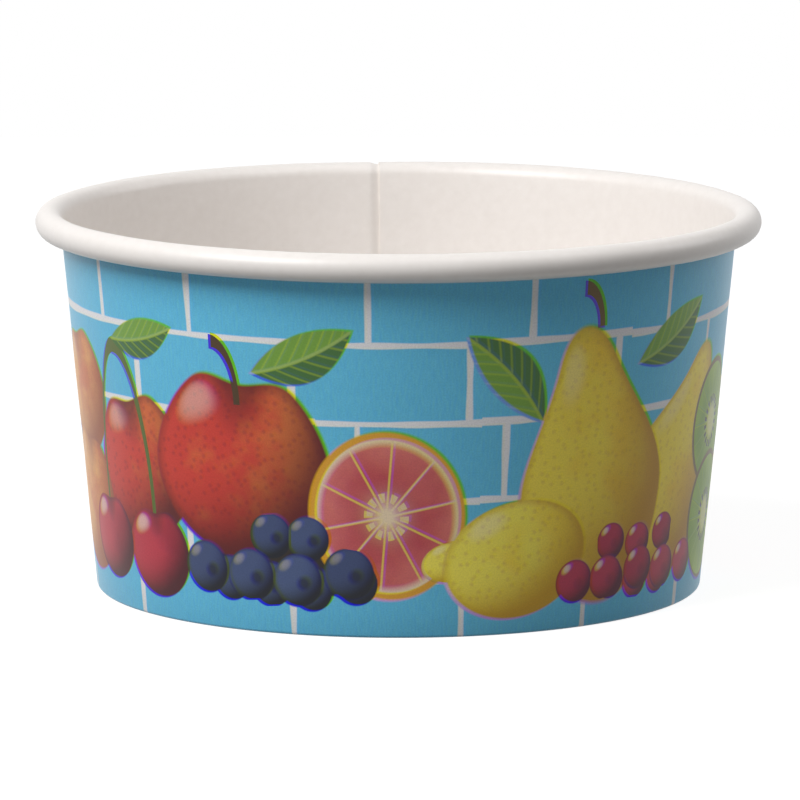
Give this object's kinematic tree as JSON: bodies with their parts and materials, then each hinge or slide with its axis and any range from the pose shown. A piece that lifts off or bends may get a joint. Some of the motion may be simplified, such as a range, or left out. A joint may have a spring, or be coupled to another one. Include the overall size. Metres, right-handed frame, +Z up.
{
  "type": "paper dessert cup",
  "caption": "Single-wall paper cup for ice cream or dessert: conical board wall with a rolled rim and a side seam, folded round a recessed floor.",
  "frame": {"origin": "on the cup's axis, at the height of the surface it stands on", "axes": "+Z up along the cup's axis, +Y towards the side seam at the back, +X to the right seen from the front"},
  "size_m": [0.09, 0.09, 0.0473],
  "materials": {
    "printed_board": "white coated board, satin print outside",
    "floor_board": "white coated board, unprinted"
  },
  "bodies": {
    "root": {"side_wall": "printed_board", "floor": "floor_board"}
  },
  "joints": []
}
